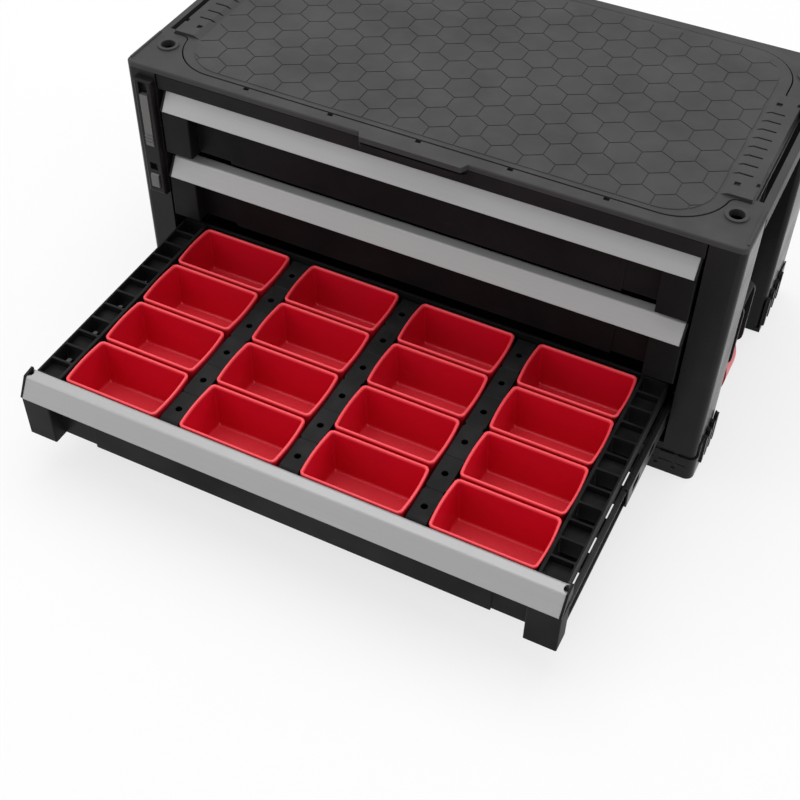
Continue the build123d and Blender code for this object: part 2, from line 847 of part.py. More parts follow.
bin_inner_round = bin_round - bin_wall
floor_share = 1 - bin_floor / bin_height
floor_draft = bin_draft * floor_share
with BuildPart() as storage_bin:
    with BuildSketch(Plane.XY.offset(bin_height)):
        add(bin_outline(bin_length, bin_width, bin_round))
    with BuildSketch():
        add(bin_outline(bin_length - 2 * bin_draft, bin_width - 2 * bin_draft, bin_round))
    loft()
    fillet(storage_bin.faces().sort_by(Axis.Z)[0].edges(), radius=bin_foot_round)
    with BuildSketch(Plane.XY.offset(bin_height)):
        add(bin_outline(bin_length - 2 * bin_wall, bin_width - 2 * bin_wall, bin_inner_round))
    with BuildSketch(Plane.XY.offset(bin_floor)):
        add(
            bin_outline(
                bin_length - 2 * (bin_wall + floor_draft),
                bin_width - 2 * (bin_wall + floor_draft),
                bin_inner_round,
            )
        )
    loft(mode=Mode.SUBTRACT)
    fillet(storage_bin.faces().sort_by(Axis.Z)[-1].edges(), radius=bin_rim_round)

bin_drawer_x, bin_drawer_y, bin_drawer_z = drawer_place(open_drawer)
for row in range(bin_rows):
    for column in range(bin_columns):
        place = (
            bin_drawer_x + (column - (bin_columns - 1) / 2) * bin_pitch_x,
            bin_drawer_y + bin_field_middle + (row - (bin_rows - 1) / 2) * bin_pitch_y,
            bin_drawer_z + floor_top,
        )
        keep(placed(storage_bin.part, place), f"bin_{row + 1}_{column + 1}")

# Divider strips between the bin columns: inverted channels with holes, seams and side notches
divider_width = bin_pitch_x - bin_length - 2 * (bin_bow + divider_gap)
divider_front = pull_depth + divider_end_gap
divider_back = cavity_back - divider_end_gap
divider_top = floor_top + bin_height - divider_drop
hole_pitch = (divider_back - divider_front) / divider_holes
divider_middle = (divider_front + divider_back) / 2
with BuildPart() as divider:
    block(
        (-divider_width / 2, divider_width / 2),
        (divider_front, divider_back),
        (floor_top, divider_top),
    )
    nose = divider.edges().filter_by(Axis.X).group_by(Axis.Z)[-1].sort_by(Axis.Y)[0]
    fillet(nose, radius=divider_nose)
    block(
        (divider_wall - divider_width / 2, divider_width / 2 - divider_wall),
        (divider_front + divider_nose_wall, divider_back - divider_wall),
        (floor_top - overrun, divider_top - divider_wall),
        mode=Mode.SUBTRACT,
    )
    with Locations((0, divider_middle, divider_top)):
        with GridLocations(divider_width, hole_pitch, 1, divider_holes):
            Hole(divider_hole_radius, depth=divider_wall + overrun)
        with GridLocations(divider_width, hole_pitch, 1, divider_holes - 1):
            Box(divider_width + overrun, divider_seam, divider_seam, mode=Mode.SUBTRACT)
        with GridLocations(divider_width, 2 * hole_pitch, 2, divider_holes // 2):
            Box(divider_wall, divider_notch, 2 * divider_notch, mode=Mode.SUBTRACT)
with BuildPart() as dividers:
    with Locations((bin_drawer_x, bin_drawer_y, bin_drawer_z)):
        with GridLocations(bin_pitch_x, drawer_length, bin_columns - 1, 1):
            add(divider.part)
keep(dividers.part, "bin_dividers")

# Drawer lock on the left front post: a housing with an upright slide bar and a press button
lock_x = -opening_half - lock_inset
lock_face = front - lock_depth
lock_groove_bottom = lock_bottom + lock_groove_rise
lock_window_bottom = lock_bottom + lock_window_rise
button_bottom = lock_bottom + button_rise
groove_back = front - lock_back
with BuildPart() as lock_housing:
    block(
        (lock_x - lock_width / 2, lock_x + lock_width / 2),
        (lock_face, front),
        (lock_bottom, lock_bottom + lock_height),
    )
    fillet(lock_housing.faces().sort_by(Axis.Y)[0].edges(), radius=lock_round)
    for bottom, height, width in (
        (lock_groove_bottom, lock_groove_height, lock_groove_width),
        (lock_window_bottom, lock_window, lock_window),
        (button_bottom, button_height, lock_groove_width),
    ):
        block(
            (lock_x - width / 2, lock_x + width / 2),
            (lock_face - overrun, groove_back),
            (bottom, bottom + height),
            mode=Mode.SUBTRACT,
        )
keep(lock_housing.part, "lock_housing")

bar_half = lock_groove_width / 2 - fit_gap
bar_bottom = lock_groove_bottom + fit_gap
bar_face = lock_face - lock_bar_proud
with BuildPart() as lock_bar:
    block(
        (lock_x - bar_half, lock_x + bar_half),
        (bar_face, groove_back - fit_gap),
        (bar_bottom, bar_bottom + lock_bar_length),
    )
    for ridge in range(1, lock_bar_ridges + 1):
        ridge_z = bar_bottom + ridge * lock_bar_ridge_pitch
        block(
            (lock_x - bar_half, lock_x + bar_half),
            (bar_face - lock_bar_ridge_proud, bar_face),
            (ridge_z - lock_bar_ridge / 2, ridge_z + lock_bar_ridge / 2),
        )
keep(lock_bar.part, "lock_bar")

with BuildPart() as lock_button:
    block(
        (lock_x - bar_half, lock_x + bar_half),
        (lock_face - button_proud, groove_back - button_travel - fit_gap),
        (button_bottom + fit_gap, button_bottom + button_height - fit_gap),
    )
    front_edges = lock_button.faces().sort_by(Axis.Y)[0].edges().filter_by(Axis.X)
    fillet(front_edges, radius=button_round)
keep(lock_button.part, "lock_button")

# Side latches: a bracket with two cheeks on the wall, a pin and a hanging lever
plate_out = wall_out + latch_plate
cheek_out = plate_out + latch_cheek_reach
pin_x = wall_out + pin_reach
latch_near = latch_y - latch_width / 2
latch_far = latch_y + latch_width / 2
with BuildPart() as latch_bracket:
    block((wall_out, plate_out), (latch_near, latch_far), (latch_plate_bottom, latch_plate_top))
    with BuildSketch(Plane.XZ.offset(-latch_near)) as cheek:
        with Locations(((plate_out + cheek_out) / 2, (latch_cheek_bottom + latch_cheek_top) / 2)):
            Rectangle(latch_cheek_reach, latch_cheek_top - latch_cheek_bottom)
        fillet(cheek.vertices().group_by(Axis.X)[-1], radius=latch_cheek_round)
        fillet(cheek.vertices().sort_by(Axis.Z)[0], radius=latch_cheek_round)
    extrude(amount=-latch_width)
    block(
        (plate_out, cheek_out + overrun),
        (latch_near + latch_cheek, latch_far - latch_cheek),
        (latch_cheek_bottom - overrun, latch_cheek_top - latch_hood),
        mode=Mode.SUBTRACT,
    )
    with Locations(Plane.XZ.offset(-latch_near)):
        with Locations((pin_x, pin_height)):
            Hole(pin_radius + pin_fit, depth=latch_width + overrun)
    with Locations(Plane.YZ.offset(plate_out)):
        with Locations(*latch_screw_places):
            Hole(screw_radius + screw_hole_gap, depth=latch_plate + overrun)
keep(latch_bracket.part, "right_latch_bracket")
keep(mirrored(latch_bracket.part), "left_latch_bracket")

lever_near = latch_near + latch_cheek + lever_side_gap
lever_length = latch_width - 2 * (latch_cheek + lever_side_gap)
lever_half = lever_thickness / 2
lever_waist = (pin_height + lever_bottom) / 2
with BuildPart() as latch_lever:
    with BuildSketch(Plane.XZ.offset(-lever_near)):
        with BuildLine():
            ThreePointArc(
                (pin_x + lever_half, pin_height),
                (pin_x + lever_half + lever_bulge, lever_waist),
                (pin_x + lever_half, lever_bottom),
            )
            Line((pin_x + lever_half, lever_bottom), (pin_x - lever_half, lever_bottom))
            ThreePointArc(
                (pin_x - lever_half, lever_bottom),
                (pin_x - lever_half + lever_bulge, lever_waist),
                (pin_x - lever_half, pin_height),
            )
            Line((pin_x - lever_half, pin_height), (pin_x + lever_half, pin_height))
        make_face()
        with Locations((pin_x, pin_height)):
            Circle(lever_knuckle)
        with Locations((pin_x - lever_half, lever_bottom + lever_half)):
            Circle(lever_half + lever_grip)
        with Locations((pin_x, pin_height)):
            Circle(pin_radius + lever_fit, mode=Mode.SUBTRACT)
    extrude(amount=-lever_length)
keep(latch_lever.part, "right_latch_lever")
keep(mirrored(latch_lever.part), "left_latch_lever")

with BuildPart() as latch_pins:
    with BuildSketch(Plane.XZ.offset(-latch_near)):
        with Locations((-pin_x, pin_height), (pin_x, pin_height)):
            Circle(pin_radius)
    extrude(amount=-latch_width)
keep(latch_pins.part, "latch_pins")


# Screws: latch screws through the brackets and walls, foot screws up into the base pan
def screw(shank):
    """A pan-head screw along Z with its head above z = 0 and a hexagon socket."""
    with BuildPart() as body:
        Cylinder(screw_head_radius, screw_head_height, align=(Align.CENTER, Align.CENTER, Align.MIN))
        Cylinder(screw_radius, shank, align=(Align.CENTER, Align.CENTER, Align.MAX))
        with BuildSketch(Plane.XY.offset(screw_head_height)):
            RegularPolygon(screw_socket_radius, 6)
        extrude(amount=-screw_socket_depth, mode=Mode.SUBTRACT)
    return body.part


latch_screw = screw(latch_plate + casing_wall - fit_gap)
with BuildPart() as latch_screws:
    with Locations(Plane.YZ.offset(plate_out)):
        with Locations(*latch_screw_places):
            add(latch_screw)
    mirror(latch_screws.part, about=Plane.YZ)
keep(latch_screws.part, "latch_screws")

foot_screw = screw(base_top - foot_screw_recess - fit_gap)
with BuildPart() as foot_screws:
    with Locations(Plane.XY.offset(foot_screw_recess).rotated((180, 0, 0))):
        with Locations(*[(x, -y) for x, y in foot_screw_places]):
            add(foot_screw)
keep(foot_screws.part, "foot_screws")
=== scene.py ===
"""Looks of a three-drawer tool chest: moulded resin, satin pulls, black coated slides and red bins."""
import math

import bpy
import numpy as np
from mathutils import Matrix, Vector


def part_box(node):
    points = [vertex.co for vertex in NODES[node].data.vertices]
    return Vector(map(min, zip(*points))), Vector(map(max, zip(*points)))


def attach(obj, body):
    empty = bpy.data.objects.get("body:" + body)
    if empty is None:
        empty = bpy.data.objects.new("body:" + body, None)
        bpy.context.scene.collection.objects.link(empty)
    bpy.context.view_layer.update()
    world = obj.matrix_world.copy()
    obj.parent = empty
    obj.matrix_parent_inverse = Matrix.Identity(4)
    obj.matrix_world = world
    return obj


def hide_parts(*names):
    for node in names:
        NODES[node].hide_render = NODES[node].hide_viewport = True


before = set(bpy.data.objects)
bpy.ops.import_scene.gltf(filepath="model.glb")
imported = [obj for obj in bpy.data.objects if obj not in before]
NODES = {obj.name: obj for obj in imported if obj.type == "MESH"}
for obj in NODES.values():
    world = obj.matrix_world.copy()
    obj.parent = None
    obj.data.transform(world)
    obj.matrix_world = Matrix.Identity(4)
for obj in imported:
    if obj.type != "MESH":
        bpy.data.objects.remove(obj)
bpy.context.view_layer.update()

bl_info = {
    "name": "Tool Chest Looks",
    "version": (1, 0, 0),
    "blender": (4, 5, 0),
    "location": "3D View > Sidebar > Chest",
    "description": "Dresses a tool chest with drawers in its finishes and makes its parts bins",
    "category": "Object",
}

MM = 0.001
BINS = [f"bin_{row}_{column}" for row in range(1, 5) for column in range(1, 5)]
DRAWERS = [f"drawer_{number}" for number in range(1, 4)]
CORNERS = ["front_left", "front_right", "rear_left", "rear_right"]

# Where the settings and the shared node groups start
EDGE_RADIUS = 0.7 * MM
HATCH_PITCH = 2.0 * MM
GRAIN_SCALE = 1400.0
CLOSE_GRAIN_SCALE = 1800.0

# Node groups: scales of their noise, and the ranges that are spread to masks from 0 to 1
FINER_GRAIN = 1.7
SMUDGE_SCALE = 14.0
SMUDGE_RANGE = (0.35, 0.7)
SCRATCH_STRETCHES = ((25.0, 900.0, 500.0), (700.0, 30.0, 900.0))
SCRATCH_RANGE = (0.70, 0.76)
EDGE_SAMPLES = 4
EDGE_RANGE = (0.99, 0.75)
UPWARD_RANGE = (0.6, 1.0)
DUST_SCALE = 45.0
DUST_RANGE = (0.42, 0.75)

# Resin: tints towards white, shares of the marks, and the swing of the roughness about its middle
SMUDGE_TINT = 0.006
DUST_TINT = 0.05
DUST_SHARE = 0.2
# Least share of the edge lightening, which is partly scuffing and partly a painted highlight
LEAST_EDGE_HIGHLIGHT_AND_SCUFF = 0.35
SCRATCH_SHARE = 0.25
GLOSS_SWING = 0.07
GRAIN_STRENGTH = 0.5

# Drawn metal: range, tone and height of its lines, shares of the marks, and swings of the roughness
LINE_RANGE = (0.3, 0.7)
LINE_TONE = 0.93
LINE_STRENGTH = 0.25
LINE_DEPTH = 0.02 * MM
# Share of the edges painted brighter, partly as a highlight and partly as wear
BRIGHT_EDGE_SHARE = 0.5
METAL_SCRATCH_SHARE = 0.2
LINE_GLOSS_SWING = 0.05
SMUDGE_GLOSS_SWING = 0.04

# Bin plastic: bands below the rim and above the floor, then tones, shares, gloss and bump
RIM_BAND = (3.0 * MM, 1.4 * MM)
FLOOR_BAND = (0.5 * MM, 0.1 * MM)
BIN_SMUDGE_TONE = 0.9
HATCH_RANGE = (0.1, 0.8)
HATCH_SHARES = (0.15, 0.75)
HATCH_TINT = 0.5
BIN_SCRATCH_SHARE = 0.15
BIN_GLOSS = (0.30, 0.40)
FLOOR_GLOSS_RISE = 0.15
BIN_SPECULAR = 0.4
BIN_GRAIN_SHARE = 0.25
BIN_BUMP_STRENGTH = 0.5
BIN_BUMP_DEPTH = 0.12 * MM

# Bin mesh: points along its rounds and walls, and how its corners tighten with the inset
ROUND_STEPS = 6
RIM_STEPS = 11
WALL_STEPS = 4
CORNER_SHRINK = 0.6
LEAST_CORNER = 1.2 * MM

# Studio floor
FLOOR_HALF = 4.0
FLOOR_POINTS = 3
FLOOR_DROP = 0.2 * MM
FLOOR_NOISE_SCALE = 3.0
FLOOR_TINT = 0.1
FLOOR_ROUGHNESS = 0.7
FLOOR_SPECULAR = 0.1

# Square soft lights: the setting with the power, the width, the place and the point aimed at
LIGHTS = (
    ("top_light", 1.8, (-0.25, 0.35, 1.9), (0.0, -0.05, 0.1)),
    ("side_light", 1.2, (-1.5, -1.2, 1.3), (0.0, -0.1, 0.1)),
    ("rim_light", 0.8, (1.7, 0.5, 0.7), (0.2, 0.1, 0.15)),
)
ALONG_Y = (0.0, 1.0, 0.0)
WHITE = (1.0, 1.0, 1.0, 1.0)

# Camera fitted to the photo: its right, up and back directions, its place, its sensor and its reach
CAMERA_RIGHT = (0.893708, 0.448505, 0.011422)
CAMERA_UP = (-0.332792, 0.645629, 0.687323)
CAMERA_BACK = (0.300893, -0.618067, 0.726262)
CAMERA_PLACE = (0.3816, -0.8217, 0.9022)
SENSOR_WIDTH = 36.0
CLIP_END = 50.0


class ChestFinish(bpy.types.PropertyGroup):
    """Colours of the chest's finishes, and how soft its edges look."""

    casing: bpy.props.FloatVectorProperty(
        name="Casing", description="Black resin of the casing", subtype="COLOR", size=3,
        min=0.0, max=1.0, default=(0.0075, 0.0075, 0.0082))
    post: bpy.props.FloatVectorProperty(
        name="Posts", description="Black resin of the corner posts and feet", subtype="COLOR", size=3,
        min=0.0, max=1.0, default=(0.010, 0.010, 0.0107))
    top: bpy.props.FloatVectorProperty(
        name="Top", description="Dark grey resin of the hexagon tray and its frame", subtype="COLOR", size=3,
        min=0.0, max=1.0, default=(0.036, 0.036, 0.037))
    lock: bpy.props.FloatVectorProperty(
        name="Lock", description="Grey plastic of the lock's bar and button", subtype="COLOR", size=3,
        min=0.0, max=1.0, default=(0.11, 0.11, 0.108))
    drawer: bpy.props.FloatVectorProperty(
        name="Drawers", description="Charcoal resin of the drawer trays", subtype="COLOR", size=3,
        min=0.0, max=1.0, default=(0.0055, 0.0055, 0.006))
    divider: bpy.props.FloatVectorProperty(
        name="Dividers", description="Charcoal resin of the strips between the bins", subtype="COLOR",
        size=3, min=0.0, max=1.0, default=(0.008, 0.008, 0.0087))
    pull: bpy.props.FloatVectorProperty(
        name="Pulls", description="Satin grey of the pull strips", subtype="COLOR", size=3,
        min=0.0, max=1.0, default=(0.39, 0.388, 0.39))
    slide: bpy.props.FloatVectorProperty(
        name="Slides", description="Black coating of the drawer slides", subtype="COLOR", size=3,
        min=0.0, max=1.0, default=(0.010, 0.010, 0.011))
    screw: bpy.props.FloatVectorProperty(
        name="Screws", description="Plain steel of the screws and latch pins", subtype="COLOR", size=3,
        min=0.0, max=1.0, default=(0.42, 0.43, 0.44))
    bin: bpy.props.FloatVectorProperty(
        name="Bins", description="Red plastic of the bins", subtype="COLOR", size=3,
        min=0.0, max=1.0, default=(0.66, 0.004, 0.021))
    bin_rim: bpy.props.FloatVectorProperty(
        name="Bin rims", description="Paler red where light passes through the thin rim", subtype="COLOR",
        size=3, min=0.0, max=1.0, default=(0.95, 0.075, 0.095))
    lever: bpy.props.FloatVectorProperty(
        name="Levers", description="Red plastic of the side latch levers", subtype="COLOR", size=3,
        min=0.0, max=1.0, default=(0.55, 0.010, 0.018))
    edge_radius: bpy.props.FloatProperty(
        name="Edge softness", description="Radius at which moulded edges catch the light",
        unit="LENGTH", min=0.0, default=EDGE_RADIUS)


class BinShape(bpy.types.PropertyGroup):
    """Sizes of one parts bin."""

    draft: bpy.props.FloatProperty(
        name="Draft", description="How far a wall leans in from the rim to the foot", unit="LENGTH",
        default=3.4 * MM)
    wall: bpy.props.FloatProperty(
        name="Wall", description="Thickness of a wall", unit="LENGTH", default=2.4 * MM)
    floor: bpy.props.FloatProperty(
        name="Floor", description="Thickness of the floor", unit="LENGTH", default=2.0 * MM)
    corner: bpy.props.FloatProperty(
        name="Corner", description="Radius of the upright corners at the rim", unit="LENGTH",
        default=4.0 * MM)
    bow: bpy.props.FloatProperty(
        name="Bow", description="How far the short sides bulge", unit="LENGTH", default=1.8 * MM)
    foot_round: bpy.props.FloatProperty(
        name="Foot round", description="Radius round the foot", unit="LENGTH", default=1.4 * MM)
    inner_round: bpy.props.FloatProperty(
        name="Inner round", description="Radius between the walls and the floor inside", unit="LENGTH",
        default=3.0 * MM)
    hatch_pitch: bpy.props.FloatProperty(
        name="Hatch pitch", description="Distance between the fine crossing lines on the floor",
        unit="LENGTH", default=HATCH_PITCH)


class StageSetup(bpy.types.PropertyGroup):
    """Floor, light and camera."""

    floor_colour: bpy.props.FloatVectorProperty(
        name="Floor", description="Colour of the studio floor", subtype="COLOR", size=3,
        min=0.0, max=1.0, default=(0.93, 0.93, 0.93))
    world_light: bpy.props.FloatProperty(
        name="Surround", description="Strength of the light from all round", default=0.6)
    top_light: bpy.props.FloatProperty(
        name="Top light", description="Power of the large light overhead", unit="POWER", default=19.0)
    side_light: bpy.props.FloatProperty(
        name="Side light", description="Power of the light at the left front", unit="POWER", default=7.0)
    rim_light: bpy.props.FloatProperty(
        name="Rim light", description="Power of the light at the right rear", unit="POWER", default=6.0)
    floor_glow: bpy.props.FloatProperty(
        name="Floor glow", description="Share of plain white in the floor as the camera sees it",
        subtype="FACTOR", min=0.0, max=1.0, default=0.7)
    lens: bpy.props.FloatProperty(
        name="Lens", description="Focal length of the camera in millimetres", default=59.49)


def new_group(name, inputs, outputs):
    """An empty shader node group with named sockets, and its input and output nodes."""
    tree = bpy.data.node_groups.new(name, "ShaderNodeTree")
    for label, kind, value in inputs:
        socket = tree.interface.new_socket(label, in_out="INPUT", socket_type=kind)
        if value is not None:
            socket.default_value = value
    for label, kind in outputs:
        tree.interface.new_socket(label, in_out="OUTPUT", socket_type=kind)
    return tree, tree.nodes.new("NodeGroupInput"), tree.nodes.new("NodeGroupOutput")


def math_node(tree, operation, first, second=None):
    """A math node with its operands, each a socket or a number, and its output."""
    node = tree.nodes.new("ShaderNodeMath")
    node.operation = operation
    for place, value in enumerate((first, second)):
        if isinstance(value, bpy.types.NodeSocket):
            tree.links.new(value, node.inputs[place])
        elif value is not None:
            node.inputs[place].default_value = value
    return node.outputs[0]


def mapped(tree, value, from_low, from_high, to_low=0.0, to_high=1.0):
    """A value moved from one range to another and held inside it."""
    node = tree.nodes.new("ShaderNodeMapRange")
    tree.links.new(value, node.inputs["Value"])
    for label, number in zip(("From Min", "From Max", "To Min", "To Max"),
                             (from_low, from_high, to_low, to_high)):
        node.inputs[label].default_value = number
    return node.outputs["Result"]


def noise(tree, vector, scale, detail=3.0, roughness=0.55):
    """Noise on a vector, with its scale a socket or a number."""
    node = tree.nodes.new("ShaderNodeTexNoise")
    tree.links.new(vector, node.inputs["Vector"])
    if isinstance(scale, bpy.types.NodeSocket):
        tree.links.new(scale, node.inputs["Scale"])
    else:
        node.inputs["Scale"].default_value = scale
    node.inputs["Detail"].default_value = detail
    node.inputs["Roughness"].default_value = roughness
    return node.outputs["Fac"]


def stretched(tree, vector, scale):
    """A vector with its three axes scaled apart."""
    node = tree.nodes.new("ShaderNodeMapping")
    tree.links.new(vector, node.inputs["Vector"])
    node.inputs["Scale"].default_value = scale
    return node.outputs["Vector"]


def mixed(tree, factor, first, second):
    """Two colours mixed by a factor, each a socket or a colour."""
    node = tree.nodes.new("ShaderNodeMix")
    node.data_type = "RGBA"
    tree.links.new(factor, node.inputs["Factor"])
    for label, value in (("A", first), ("B", second)):
        socket = [s for s in node.inputs if s.name == label and s.type == "RGBA"][0]
        if isinstance(value, bpy.types.NodeSocket):
            tree.links.new(value, socket)
        else:
            socket.default_value = (*value, 1.0)
    return [s for s in node.outputs if s.type == "RGBA"][0]


def mix_shaders(tree, factor, first, second, surface):
    """Two shaders mixed by a factor and led to a surface."""
    node = tree.nodes.new("ShaderNodeMixShader")
    for place, socket in enumerate((factor, first, second)):
        tree.links.new(socket, node.inputs[place])
    tree.links.new(node.outputs[0], surface)


def seen_directly(tree):
    """1 for rays from the camera, mirrored ones and ones through glass, and 0 for those that light things."""
    path = tree.nodes.new("ShaderNodeLightPath")
    seen = math_node(tree, "MAXIMUM", path.outputs["Is Camera Ray"], path.outputs["Is Glossy Ray"])
    return math_node(tree, "MAXIMUM", seen, path.outputs["Is Transmission Ray"])


def moulded_grain():
    """Spark-eroded mould texture: fine cells over finer noise, as a height."""
    tree, given, result = new_group(
        "Moulded grain",
        [("Vector", "NodeSocketVector", None), ("Scale", "NodeSocketFloat", GRAIN_SCALE)],
        [("Height", "NodeSocketFloat")])
    cells = tree.nodes.new("ShaderNodeTexVoronoi")
    cells.feature = "SMOOTH_F1"
    tree.links.new(given.outputs["Vector"], cells.inputs["Vector"])
    tree.links.new(given.outputs["Scale"], cells.inputs["Scale"])
    finer = math_node(tree, "MULTIPLY", given.outputs["Scale"], FINER_GRAIN)
    fine = noise(tree, given.outputs["Vector"], finer)
    total = math_node(tree, "ADD", cells.outputs["Distance"], fine)
    tree.links.new(math_node(tree, "MULTIPLY", total, 0.5), result.inputs["Height"])
    return tree


def handling_marks():
    """Broad smudges from hands and thin, short scratches, each as a mask."""
    tree, given, result = new_group(
        "Handling marks",
        [("Vector", "NodeSocketVector", None)],
        [("Smudge", "NodeSocketFloat"), ("Scratch", "NodeSocketFloat")])
    vector = given.outputs["Vector"]
    smudge = mapped(tree, noise(tree, vector, SMUDGE_SCALE, detail=4.0), *SMUDGE_RANGE)
    tree.links.new(smudge, result.inputs["Smudge"])
    lines = [
        mapped(tree, noise(tree, stretched(tree, vector, stretch), 1.0, detail=2.0), *SCRATCH_RANGE)
        for stretch in SCRATCH_STRETCHES
    ]
    tree.links.new(math_node(tree, "MAXIMUM", *lines), result.inputs["Scratch"])
    return tree


def soft_edges():
    """Rounded-off normals at the edges, and a mask that is 1 on an edge and 0 on a flat."""
    tree, given, result = new_group(
        "Soft edges",
        [("Radius", "NodeSocketFloat", EDGE_RADIUS)],
        [("Normal", "NodeSocketVector"), ("Edge", "NodeSocketFloat")])
    bevel = tree.nodes.new("ShaderNodeBevel")
    bevel.samples = EDGE_SAMPLES
    tree.links.new(given.outputs["Radius"], bevel.inputs["Radius"])
    tree.links.new(bevel.outputs["Normal"], result.inputs["Normal"])
    shape = tree.nodes.new("ShaderNodeNewGeometry")
    turn = tree.nodes.new("ShaderNodeVectorMath")
    turn.operation = "DOT_PRODUCT"
    tree.links.new(bevel.outputs["Normal"], turn.inputs[0])
    tree.links.new(shape.outputs["Normal"], turn.inputs[1])
    tree.links.new(mapped(tree, turn.outputs["Value"], *EDGE_RANGE), result.inputs["Edge"])
    return tree


def settled_dust():
    """A patchy mask on faces that look up, where fine dust lies."""
    tree, given, result = new_group(
        "Settled dust",
        [("Vector", "NodeSocketVector", None)],
        [("Dust", "NodeSocketFloat")])
    shape = tree.nodes.new("ShaderNodeNewGeometry")
    axes = tree.nodes.new("ShaderNodeSeparateXYZ")
    tree.links.new(shape.outputs["Normal"], axes.inputs[0])
    upward = mapped(tree, axes.outputs["Z"], *UPWARD_RANGE)
    patches = mapped(tree, noise(tree, given.outputs["Vector"], DUST_SCALE, detail=6.0), *DUST_RANGE)
    tree.links.new(math_node(tree, "MULTIPLY", upward, patches), result.inputs["Dust"])
    return tree


def cross_hatch():
    """Two sets of fine lines that cross at right angles, as a height: sin(x + y) times sin(x - y)."""
    tree, given, result = new_group(
        "Cross hatch",
        [("Vector", "NodeSocketVector", None), ("Pitch", "NodeSocketFloat", HATCH_PITCH)],
        [("Height", "NodeSocketFloat")])
    axes = tree.nodes.new("ShaderNodeSeparateXYZ")
    tree.links.new(given.outputs["Vector"], axes.inputs[0])
    rate = math_node(tree, "DIVIDE", math.pi * math.sqrt(2.0), given.outputs["Pitch"])
    waves = []
    for operation in ("ADD", "SUBTRACT"):
        run = math_node(tree, operation, axes.outputs["X"], axes.outputs["Y"])
        waves.append(math_node(tree, "SINE", math_node(tree, "MULTIPLY", run, rate)))
    tree.links.new(math_node(tree, "MULTIPLY", *waves), result.inputs["Height"])
    return tree


GROUP_MAKERS = {
    "Moulded grain": moulded_grain,
    "Handling marks": handling_marks,
    "Soft edges": soft_edges,
    "Settled dust": settled_dust,
    "Cross hatch": cross_hatch,
}


def effect(tree, name, vector=None, **values):
    """One of the shared node groups placed in a material, built when it is first asked for."""
    node = tree.nodes.new("ShaderNodeGroup")
    node.node_tree = bpy.data.node_groups.get(name) or GROUP_MAKERS[name]()
    if vector is not None:
        tree.links.new(vector, node.inputs["Vector"])
    for label, value in values.items():
        node.inputs[label].default_value = value
    return node.outputs


def new_material(name):
    """A material with its principled shader, and the piece's own coordinates."""
    material = bpy.data.materials.new(name)
    material.use_nodes = True
    tree = material.node_tree
    place = tree.nodes.new("ShaderNodeTexCoord").outputs["Object"]
    return material, tree, tree.nodes["Principled BSDF"], place


def bump(tree, height, normal, strength, distance):
    """A bump over a normal."""
    node = tree.nodes.new("ShaderNodeBump")
    node.inputs["Strength"].default_value = strength
    node.inputs["Distance"].default_value = distance
    tree.links.new(height, node.inputs["Height"])
    tree.links.new(normal, node.inputs["Normal"])
    return node.outputs["Normal"]


def lighter(colour, share):
    """A colour moved towards white by a share."""
    return tuple(value + (1.0 - value) * share for value in colour)


def resin(name, colour, roughness, grain=GRAIN_SCALE, depth=0.05 * MM, specular=0.12, wear_and_highlight=0.03):
    """Moulded resin: grain, smudges in the gloss, edges lightened partly as scuffs and partly as a painted
    highlight, thin scratches and a little dust.
    """
    finish = bpy.context.scene.chest_finish
    material, tree, shader, place = new_material(name)
    marks = effect(tree, "Handling marks", place)
    edges = effect(tree, "Soft edges", Radius=finish.edge_radius)
    settled = effect(tree, "Settled dust", place)
    grained = effect(tree, "Moulded grain", place, Scale=grain)
    patchy = mapped(tree, marks["Smudge"], 0.0, 1.0, LEAST_EDGE_HIGHLIGHT_AND_SCUFF, 1.0)
    # Edges painted lighter: partly scuffs, partly a painted highlight along the moulded edges
    edge_highlight_and_scuff = math_node(tree, "MULTIPLY", edges["Edge"], patchy)
    scratch = math_node(tree, "MULTIPLY", marks["Scratch"], SCRATCH_SHARE)
    dust = math_node(tree, "MULTIPLY", settled["Dust"], DUST_SHARE)
    tone = mixed(tree, marks["Smudge"], colour, lighter(colour, SMUDGE_TINT))
    tone = mixed(tree, edge_highlight_and_scuff, tone, lighter(colour, wear_and_highlight))
    tone = mixed(tree, scratch, tone, lighter(colour, wear_and_highlight))
    tone = mixed(tree, dust, tone, lighter(colour, DUST_TINT))
    tree.links.new(tone, shader.inputs["Base Color"])
    gloss = mapped(tree, marks["Smudge"], 0.0, 1.0, roughness + GLOSS_SWING, roughness - GLOSS_SWING)
    tree.links.new(gloss, shader.inputs["Roughness"])
    shader.inputs["Specular IOR Level"].default_value = specular
    surface = bump(tree, grained["Height"], edges["Normal"], GRAIN_STRENGTH, depth)
    tree.links.new(surface, shader.inputs["Normal"])
    return material


